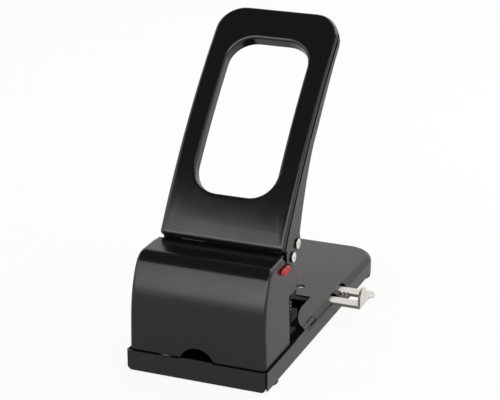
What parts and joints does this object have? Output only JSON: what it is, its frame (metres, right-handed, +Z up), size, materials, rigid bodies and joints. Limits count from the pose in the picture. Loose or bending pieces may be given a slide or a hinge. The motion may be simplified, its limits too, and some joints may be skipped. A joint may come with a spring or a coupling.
{
  "type": "hole punch",
  "caption": "Desk hole punch with a tall curved lever handle, boxed housing, flat paper table, sliding side guide, chip tray and handle lock.",
  "frame": {"origin": "middle of the bounding box on the desk plane, under the feet", "axes": "+Z up, +Y along the paper table from the chip tray to its free end, +X to the side where the paper guide comes out"},
  "size_m": [0.166, 0.3134, 0.2885],
  "materials": {
    "black_paint": "satin black powder coat",
    "lever_paint": "satin dark gray powder coat",
    "blackened_steel": "blackened steel, oiled",
    "bright_steel": "bright plated steel",
    "skin_plastic": "semi gloss black",
    "guide_plastic": "pale gray matte",
    "knob_plastic": "gloss red",
    "foot_rubber": "matte black"
  },
  "bodies": {
    "base": {"table_shell": "black_paint", "base_plate": "black_paint", "housing_cover": "black_paint", "guide_bracket": "black_paint", "rubber_foot_1": "foot_rubber", "rubber_foot_2": "foot_rubber", "rubber_foot_3": "foot_rubber", "rubber_foot_4": "foot_rubber", "side_frame_left": "blackened_steel", "side_frame_right": "blackened_steel", "die_block": "blackened_steel", "guide_block": "blackened_steel", "paper_stop": "bright_steel", "tie_rod": "bright_steel", "pivot_axle": "bright_steel", "pivot_washer_left": "blackened_steel", "pivot_washer_right": "blackened_steel", "spring_post_left": "bright_steel", "spring_post_right": "bright_steel", "return_spring_left": "bright_steel", "return_spring_right": "bright_steel", "frame_screw_1": "bright_steel", "frame_screw_2": "bright_steel", "frame_screw_3": "bright_steel", "frame_screw_4": "bright_steel", "block_screw_left_1": "bright_steel", "block_screw_left_2": "bright_steel", "block_screw_right_1": "bright_steel", "block_screw_right_2": "bright_steel", "guide_pawl": "bright_steel", "table_screw_left": "bright_steel", "table_screw_right": "bright_steel"},
    "handle": {"lever_frame": "lever_paint", "handle_skin": "skin_plastic", "load_axle": "bright_steel", "load_washer_left": "blackened_steel", "load_washer_right": "blackened_steel"},
    "ram": {"crosshead": "blackened_steel", "punch_pin_left": "bright_steel", "punch_pin_right": "bright_steel", "punch_cap_left": "bright_steel", "punch_cap_right": "bright_steel"},
    "tray": {"chip_tray": "black_paint"},
    "guide": {"paper_guide": "guide_plastic"},
    "lock": {"lock_knob": "knob_plastic", "lock_slide": "bright_steel"}
  },
  "joints": [
    {"name": "handle_swing", "type": "hinge", "parent": "base", "child": "handle", "pos_m": [-0.0155, -0.07575, 0.0987], "axis": [-1, 0, 0], "range_deg": [0, 60], "stiffness_Nm_per_rad": 0.6, "springref_deg": -57.3},
    {"name": "punch_travel", "type": "slide", "parent": "base", "child": "ram", "axis": [0, 0, -1], "range_m": [0, 0.01414], "deforming": ["return_spring_left", "return_spring_right"]},
    {"name": "tray_pull", "type": "slide", "parent": "base", "child": "tray", "axis": [0, -1, 0], "range_m": [0, 0.09]},
    {"name": "guide_slide", "type": "slide", "parent": "base", "child": "guide", "axis": [1, 0, 0], "range_m": [-0.022, 0.05]},
    {"name": "lock_slide_travel", "type": "slide", "parent": "base", "child": "lock", "axis": [0, 1, 0], "range_m": [0, 0.005]}
  ],
  "couplings": [
    {"joint": "punch_travel", "follows": "handle_swing", "m_per_rad": 0.0135}
  ]
}
